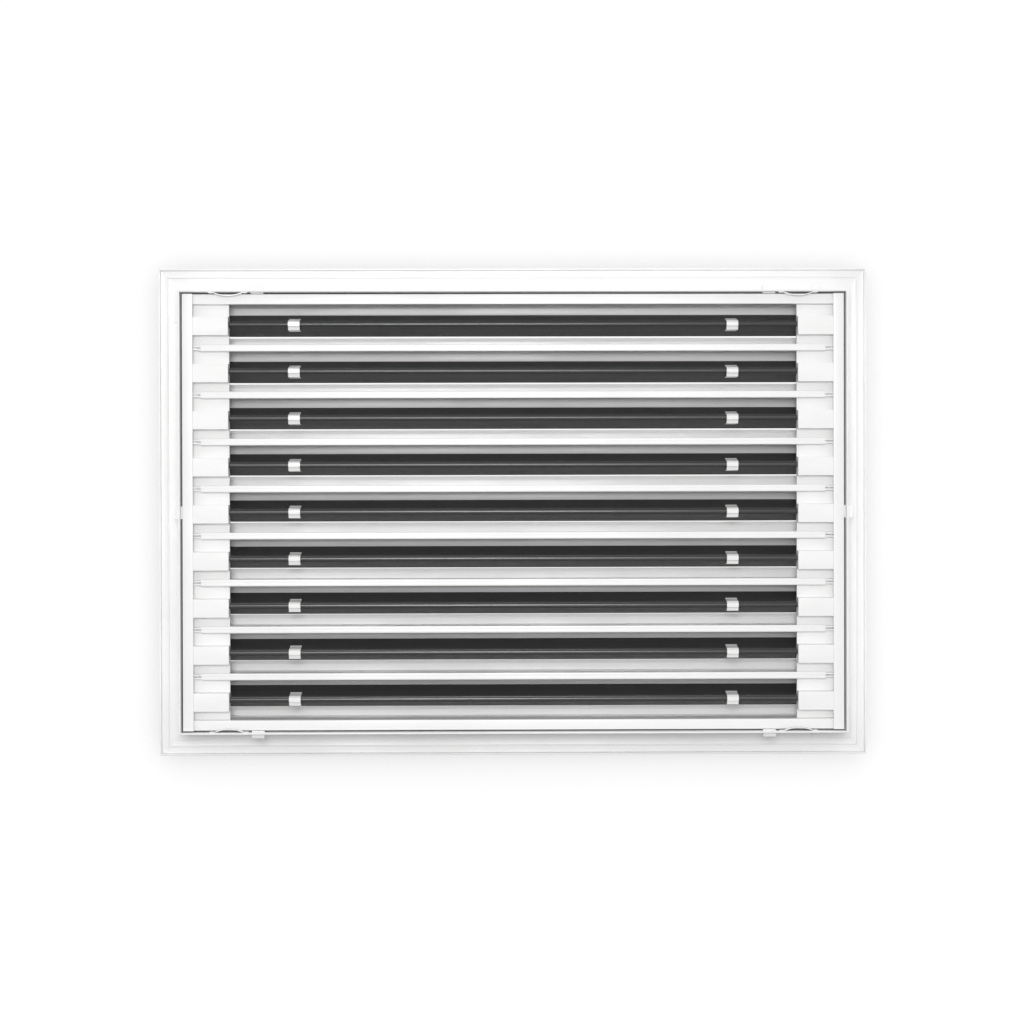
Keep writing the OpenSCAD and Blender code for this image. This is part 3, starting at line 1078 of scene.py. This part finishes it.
    def block(self, k: int) -> list[Shell]:
        """Skins of the end block at the right end of slot k: its plate with the boss, and the part below.

        Args:
            k: the slot's number, from 1 at the top.

        Returns:
            the skins, at their place in the core.
        """
        size = self.size
        between_webs = size.pitch / 2 - self.web_w / 2 - 0.05
        beside_rail = size.pitch / 2 - self.bead_w / 2 - 0.05
        up = beside_rail if k == 1 else between_webs
        down = beside_rail if k == size.rows else between_webs
        near, deep = size.face_y - 0.6, size.rear_of_face - 0.1
        plate = self.floor_y + self.plate_t
        end = size.web_end_x - 0.1
        rail = self.rail_in_x - 0.05
        rear = size.side_rear_y
        border = self.border_x - 0.1
        boss_stations = [(self.block_x, rear), (rail, rear), (rail, rear + 1.6), (end, rear + 1.6)]
        boss = [along_x(self.boss_section(up, down, y, plate), [x])[0] for x, y in boss_stations]
        plug_stations = [(self.plug_x, near), (border, near), (border, deep), (end, deep)]
        plug = [along_x(self.plug_section(up, down, front), [x])[0] for x, front in plug_stations]
        z = size.slot_z(k)
        return [tube(np.stack(boss)).moved(z=z), tube(np.stack(plug)).moved(z=z)]

    def build_blocks(self) -> None:
        """Makes the end blocks at both ends of every slot."""
        right = [shell for k in range(1, self.size.rows + 1) for shell in self.block(k)]
        for side, shells in (("right", right), ("left", [s.mirrored(0) for s in right])):
            piece = make_piece(f"pivot_blocks_{side}", shells)
            soften_edges(piece, 0.3)
            self.shop.fit(piece, Finish.PLASTIC, self.body, [f"end_blocks_{side}"])

    def build(self) -> None:
        """Makes every piece of the core."""
        self.build_long_rails()
        self.build_side_rails()
        self.build_bars()
        self.build_blocks()
        self.shop.dress_node("core_screws", Finish.SCREW)


# Wings


@dataclass
class WingPair:
    """Deflector wings of one slot and the clips that grip their pivot."""

    size: Layout
    shop: Workshop
    slot: int
    pivot_y: float = -35.4
    bead_r: float = 1.4
    socket_in: float = 1.46
    socket_out: float = 2.2
    blade_t: float = 1.0
    root_r: float = 1.9
    root_z: float = 1.75
    tip_y: float = -2.6
    tip_z: float = 8.95
    tip_r: float = 0.7
    journal: float = 8.5
    rib_y: float = 2.3
    rib_lean: float = 0.18
    pair_turn: float = 1.9
    under_block: float = 7.0
    notch_y: float = -27.0
    clip_x: float = 194.6
    clip_w: float = 10.3

    def blade(self, side: int) -> np.ndarray:
        """One face of a blade, from root to tip.

        At a share t of the way the middle line is at root + (tip - root)(0.8 t + 0.2 t^2) from the slot's
        middle, and the faces lie half a thickness to either side.

        Args:
            side: 1 for the outer face, -1 for the inner face.

        Returns:
            Points as [Y, Z].
        """
        t = np.linspace(0.0, 1.0, 29)
        y = self.pivot_y + self.root_r + (self.tip_y - self.pivot_y - self.root_r) * t
        z = self.root_z + (self.tip_z - self.root_z) * (0.8 * t + 0.2 * t**2) + side * self.blade_t / 2
        keep = y < self.tip_y - self.tip_r * 0.8
        return np.stack([y[keep], z[keep]], axis=-1)

    def tip(self) -> np.ndarray:
        """Round bead along the tip of a blade."""
        return arc((self.tip_y, self.tip_z), self.tip_r, 135.0, -135.0, 17)

    def upper_outline(self) -> np.ndarray:
        """Upper wing: a solid bead on the axis, a thin neck and the blade.

        Returns:
            the outline's points, as [Y, Z] in millimetres.
        """
        p = self.pivot_y
        bead = arc((p, 0.0), self.bead_r, 37.0, 370.0, 37)
        land = [(p + 4.1, 2.95), (p + 3.6, 3.05), (p + 2.05, 2.9), (p + 1.95, 2.75), (p + 1.8, 1.75),
                (p + 1.25, 1.35)]
        neck = [(p + 1.85, 0.6), (p + 2.15, 1.1)]
        return np.concatenate([
            self.blade(1)[4:][::-1], land, bead, neck, self.blade(-1)[1:], self.tip()[::-1],
        ])

    def lower_outline(self) -> np.ndarray:
        """Lower wing: an open socket that snaps over the bead, its square rib, and the blade, mirrored.

        Returns:
            the outline's points, as [Y, Z] in millimetres.
        """
        p = self.pivot_y
        outer = arc((p, 0.0), self.socket_out, 58.0, 184.0, 27)
        rib = np.array([(p - self.rib_y, -0.2), (p - self.rib_y + self.rib_lean, -1.5), (p - 1.62, -1.5)])
        around = arc((p, 0.0), self.socket_out, 223.0, 262.0, 10)
        lip = arc((p, 0.0), (self.socket_in + self.socket_out) / 2, 265.0, 265.0, 1)
        inner = arc((p, 0.0), self.socket_in, 262.0, 25.0, 37)
        cuts = np.array([0.0, 0.12, 0.12, 0.1, 0.0])
        rib = rounded(np.concatenate([outer[-1:], rib, around[:1]]), cuts, 3)[4:-4]
        outline = np.concatenate([
            self.blade(1)[::-1], [(p + 1.5, 2.08)], outer, rib, around, lip, inner, [(p + 1.97, 0.9)],
            self.blade(-1), self.tip()[::-1],
        ])
        return outline * np.array([1.0, -1.0])

    def front_part(self) -> np.ndarray:
        """The blade from a notch near its root to its tip, as it reaches on under the end blocks.

        Returns:
            the outline's points, as [Y, Z] in millimetres.
        """
        outer, inner = self.blade(1), self.blade(-1)
        keep = outer[:, 0] > self.notch_y
        return np.concatenate([outer[keep][::-1], inner[keep], self.tip()[::-1]])

    def clip_outline(self) -> np.ndarray:
        """Sprung clip: a flat crown with a crease at either edge, and two legs that flare at their ends.

        Returns:
            the outline's points, as [Y, Z] in millimetres.
        """
        p = self.pivot_y
        upper = [
            (p - 3.0, 1.95, 0.25), (p - 2.5, 2.15, 0.15), (p - 0.6, 3.5, 0.4), (p + 10.4, 4.6, 1.6),
            (p + 12.6, 5.6, 0.25), (p + 12.9, 5.0, 0.25), (p + 10.6, 3.9, 1.4), (p - 0.4, 2.75, 0.4),
            (p - 1.8, 1.6, 0.4), (p - 2.3, 0.6, 0.6),
        ]
        lower = [
            (p - 2.3, -0.6, 0.6), (p - 1.45, -1.7, 0.3), (p + 0.1, -4.4, 0.4), (p + 10.6, -4.9, 1.4),
            (p + 12.9, -5.3, 0.25), (p + 12.6, -5.9, 0.25), (p + 10.4, -5.5, 1.6), (p - 0.7, -5.1, 0.4),
            (p - 1.5, -2.35, 0.1), (p - 3.0, -1.6, 0.15),
        ]
        return outline_of(upper + lower)

    def set_pair(self, outline: np.ndarray) -> np.ndarray:
        """Turns an outline about the pivot by the angle at which the pair is set.

        Args:
            outline: points to turn, as [Y, Z].

        Returns:
            the turned points, as [Y, Z].
        """
        turn = math.radians(self.pair_turn)
        spin = np.array([[math.cos(turn), math.sin(turn)], [-math.sin(turn), math.cos(turn)]])
        pivot = np.array([self.pivot_y, 0.0])
        return (outline - pivot) @ spin + pivot

    def wing(self, outline: np.ndarray, side: int) -> list[Shell]:
        """Skins of a wing: its whole section between the end blocks, and its front part on under them.

        Args:
            outline: the whole section.
            side: 1 for the upper wing, -1 for the lower one.

        Returns:
            The skins.
        """
        half, reach = self.size.wing_half - self.under_block, self.size.wing_half
        z = self.size.slot_z(self.slot)
        middle = tube(along_x(self.set_pair(outline), [-half, half])).moved(z=z)
        front = self.set_pair(self.front_part() * np.array([1.0, side]))
        end = tube(along_x(front, [half, reach])).moved(z=z)
        return [middle, end, end.mirrored(0)]

    def build(self) -> None:
        """Makes both wings and the two clips of this slot."""
        z = self.size.slot_z(self.slot)
        k = self.slot
        start = self.size.wing_half - self.under_block - 0.5
        pin = arc((self.pivot_y, 0.0), self.bead_r * 0.98, 0.0, 345.0, 24)
        journal = tube(along_x(pin, [start, start + self.journal])).moved(z=z)
        blades = self.wing(self.upper_outline(), 1)
        upper = make_piece(f"upper_blade_{k}", [*blades, journal, journal.mirrored(0)])
        rub_ribs(upper, self.set_pair(np.array([[self.pivot_y + 1.95, 2.3]]))[0] + (0.0, z), 0.8)
        self.shop.fit(upper, Finish.WING, f"upper_wing_{k}", [f"upper_wing_{k}"])
        lower = make_piece(f"lower_blade_{k}", self.wing(self.lower_outline(), -1))
        rub_ribs(lower, self.set_pair(np.array([[self.pivot_y - self.rib_y, 0.85]]))[0] + (0.0, z), 1.0)
        self.shop.fit(lower, Finish.WING, f"lower_wing_{k}", [f"lower_wing_{k}", f"wing_socket_{k}"])
        grip = self.clip_w / 2
        outline = self.set_pair(self.clip_outline())
        clip = tube(along_x(outline, [self.clip_x - grip, self.clip_x + grip])).moved(z=z)
        pair = make_piece(f"pivot_clips_{k}", [clip, clip.mirrored(0)], 28.0)
        soften_edges(pair, 0.12)
        self.shop.fit(pair, Finish.CLIP, f"lower_wing_{k}", [f"wing_clips_{k}"])


# Studio


@dataclass(frozen=True)
class Panel:
    """A rectangular soft light that faces the grille, by its bearing and height above the view axis."""

    name: str
    bearing: float
    height: float
    distance: float
    width: float
    tall: float
    power: float

    def add(self) -> bpy.types.Object:
        """Adds the light. A bearing of 0 is behind the grille, on the side of the neck.

        Returns:
            the light's object.
        """
        data = bpy.data.lights.new(self.name, "AREA")
        data.shape = "RECTANGLE"
        data.size = self.width
        data.size_y = self.tall
        data.energy = self.power
        lamp = bpy.data.objects.new(self.name, data)
        bearing, height = math.radians(self.bearing), math.radians(self.height)
        away = np.array([
            math.sin(bearing) * math.cos(height), -math.cos(bearing) * math.cos(height), math.sin(height),
        ])
        lamp.matrix_world = facing(-away, 0.0, away * self.distance)
        bpy.context.scene.collection.objects.link(lamp)
        return lamp


def facing(forward: np.ndarray, roll: float, place: np.ndarray) -> Matrix:
    """World matrix of a camera or light that looks along a direction.

    Args:
        forward: unit direction of view.
        roll: turn about it in radians.
        place: position in metres.

    Returns:
        The matrix, whose columns are right, up and backward.
    """
    right = np.cross(forward, np.array([0.0, 0.0, 1.0]))
    right /= np.linalg.norm(right)
    up = np.cross(right, forward)
    turned_right = math.cos(roll) * right + math.sin(roll) * up
    turned_up = math.cos(roll) * up - math.sin(roll) * right
    columns = np.eye(4)
    columns[:3, 0], columns[:3, 1], columns[:3, 2], columns[:3, 3] = turned_right, turned_up, -forward, place
    return Matrix(columns.tolist())


@dataclass(frozen=True)
class Studio:
    """Camera, lights, the white table behind the face and a pale floor."""

    camera_place: tuple[float, float, float] = (-0.0232, -1.9812, 0.0136)
    yaw: float = 0.639
    pitch: float = -0.403
    roll: float = -0.132
    lens: float = 76.99
    sky_low: float = 0.40
    sky_high: float = 0.79
    sky_room: float = 0.10
    table_y: float = 0.019
    table_glow: float = 0.87
    table_white: float = 0.25
    hole: tuple[float, float] = (0.302, 0.202)
    backdrop_y: float = 0.095
    # reach and darkest tint of the painted shade that dims the glowing sheets near the grille
    shade_reach: float = 0.04
    shade_white: float = 0.5
    reach: float = 3.0
    floor_z: float = -0.62
    panels: tuple[Panel, ...] = field(default=(
        Panel("key_above", -2.0, 6.5, 2.6, 0.6, 0.5, 28.5),
        Panel("room_side_top", 180.0, 66.0, 2.4, 2.2, 0.8, 24.0),
        Panel("room_side_plus_x", 112.0, 8.0, 2.4, 0.8, 1.6, 45.0),
        Panel("room_side_minus_x", 248.0, 8.0, 2.4, 0.8, 1.6, 30.0),
    ))

    def add_camera(self) -> None:
        """Adds the camera, which looks along +Y with a small yaw, pitch and roll."""
        data = bpy.data.cameras.new("studio_camera")
        data.lens = self.lens
        data.sensor_width = 36.0
        data.clip_end = 50.0
        camera = bpy.data.objects.new("studio_camera", data)
        yaw, pitch = math.radians(self.yaw), math.radians(self.pitch)
        forward = np.array([
            math.sin(yaw) * math.cos(pitch), math.cos(yaw) * math.cos(pitch), math.sin(pitch),
        ])
        camera.matrix_world = facing(forward, math.radians(self.roll), np.array(self.camera_place))
        bpy.context.scene.collection.objects.link(camera)
        bpy.context.scene.camera = camera

    def add_sky(self) -> None:
        """Adds a soft surround, brighter above and behind than below and on the room side.

        The strength is low + (high - low) times a smooth rise over height, and falls to the room side's by a
        smooth rise over Y.
        """
        world = bpy.data.worlds.new("white_surround")
        world.use_nodes = True
        tree = world.node_tree
        way = tree.nodes.new("ShaderNodeTexCoord").outputs["Generated"]
        split = tree.nodes.new("ShaderNodeSeparateXYZ")
        tree.links.new(way, split.inputs[0])
        up = tree.nodes.new("ShaderNodeMapRange")
        room = tree.nodes.new("ShaderNodeMapRange")
        rises = (
            (up, 2, (-0.9, 0.9, self.sky_low, self.sky_high)), (room, 1, (-0.1, 0.35, 1.0, self.sky_room)),
        )
        for rise, source, limits in rises:
            rise.interpolation_type = "SMOOTHSTEP"
            tree.links.new(split.outputs[source], rise.inputs[0])
            for number, limit in enumerate(limits, 1):
                rise.inputs[number].default_value = limit
        strength = tree.nodes.new("ShaderNodeMath")
        strength.operation = "MULTIPLY"
        tree.links.new(up.outputs[0], strength.inputs[0])
        tree.links.new(room.outputs[0], strength.inputs[1])
        background = tree.nodes["Background"]
        background.inputs["Color"].default_value = (1.0, 1.0, 1.0, 1.0)
        tree.links.new(strength.outputs[0], background.inputs["Strength"])
        bpy.context.scene.world = world

    def sheet(self, name: str, corners: list, faces: list, white: float, glow: float) -> bpy.types.Object:
        """Adds a flat white sheet of the stage.

        Args:
            name: its name.
            corners: its corners in metres.
            faces: the corners of each face.
            white: share of the light that it gives back.
            glow: light of its own, dimmed by an ambient-occlusion mask where other geometry is near, as
                painted shade. A glowing sheet lets the view through from its back.

        Returns:
            The sheet.
        """
        mesh = bpy.data.meshes.new(name)
        mesh.from_pydata(corners, [], faces)
        sheet = bpy.data.objects.new(name, mesh)
        bpy.context.scene.collection.objects.link(sheet)
        book = NodeBook(name + "_paint")
        tone = book.noise(3.0, 2.0).above(0.3, 0.7)
        book.dress({"Base Color": book.tint(tone, (white,) * 3, (white - 0.01,) * 3), "Roughness": 0.9})
        if glow > 0.0:
            # painted shade: the glow is darkened where geometry lies within reach, which paints the shadow
            # round the frame
            reach = {"Distance": self.shade_reach}
            painted_shade_openness = book.amount("ShaderNodeAmbientOcclusion", {"samples": 16}, reach, 1)
            glowing = book.tint(painted_shade_openness, (self.shade_white,) * 3, (1.0, 1.0, 1.0))
            book.dress({"Emission Color": glowing, "Emission Strength": glow})
            back = book.node("ShaderNodeNewGeometry", {}, {}).outputs["Backfacing"]
            clear = book.node("ShaderNodeBsdfTransparent", {}, {}).outputs[0]
            mixed = book.node("ShaderNodeMixShader", {}, {0: back, 1: book.shader.outputs[0], 2: clear})
            book.feed(book.output.inputs["Surface"], mixed.outputs[0])
        mesh.materials.append(book.material)
        return sheet

    def upright_sheet(self, name: str, y: float, hole: tuple[float, float]) -> bpy.types.Object:
        """Adds a glowing sheet across the view, its glow dimmed near the grille as painted shade, that lights
        nothing and hides nothing from the lights.

        Args:
            name: its name.
            y: where it stands.
            hole: half width and half height of the hole through which the core slides, or 0 and 0 for none.

        Returns:
            The sheet.
        """
        signs = [(-1, -1), (1, -1), (1, 1), (-1, 1)]
        corners = [(self.reach * i, y, self.reach * j) for i, j in signs]
        faces = [(0, 1, 2, 3)]
        if min(hole) > 0.0:
            corners += [(hole[0] * i, y, hole[1] * j) for i, j in signs]
            faces = [(i, (i + 1) % 4, (i + 1) % 4 + 4, i + 4) for i in range(4)]
        sheet = self.sheet(name, corners, faces, self.table_white, self.table_glow)
        sheet.visible_diffuse = sheet.visible_glossy = sheet.visible_shadow = False
        return sheet

    def build(self) -> None:
        """Adds everything of the studio."""
        self.add_camera()
        self.add_sky()
        # the table shows the view a shadow round the frame that is mostly painted shade, its glow dimmed by
        # an occlusion mask; it is hidden from the lights so that the face is lit from the room side
        table = self.upright_sheet("white_table", self.table_y, self.hole)
        backdrop = self.upright_sheet("white_backdrop", self.backdrop_y, (0.0, 0.0))
        far, z = self.reach, self.floor_z
        corners = [(-far, -far, z), (far, -far, z), (far, far, z), (-far, far, z)]
        floor = self.sheet("pale_floor", corners, [(0, 1, 2, 3)], 0.93, 0.0)
        floor.visible_diffuse = floor.visible_glossy = floor.visible_shadow = False
        lamps = [panel.add() for panel in self.panels]
        # the key would throw a second, hard shadow of the frame on the table
        spared = bpy.data.collections.new("lit_by_sky_only")
        for number, sheet in enumerate((table, backdrop)):
            spared.objects.link(sheet)
            spared.collection_objects[number].light_linking.link_state = "EXCLUDE"
        lamps[0].light_linking.receiver_collection = spared
        view = bpy.context.scene.view_settings
        view.view_transform = "Standard"
        view.look = "None"


def main() -> None:
    """Builds the studio and then every piece, sub-assembly by sub-assembly."""
    logging.basicConfig(level=logging.INFO, format="%(name)s: %(message)s")
    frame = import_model()
    Studio().build()
    size = Layout.read()
    shop = Workshop(frame)
    OuterFrame(size, shop).build()
    Core(size, shop).build()
    for slot in range(1, size.rows + 1):
        WingPair(size, shop, slot).build()


if __name__ == "__main__":
    main()
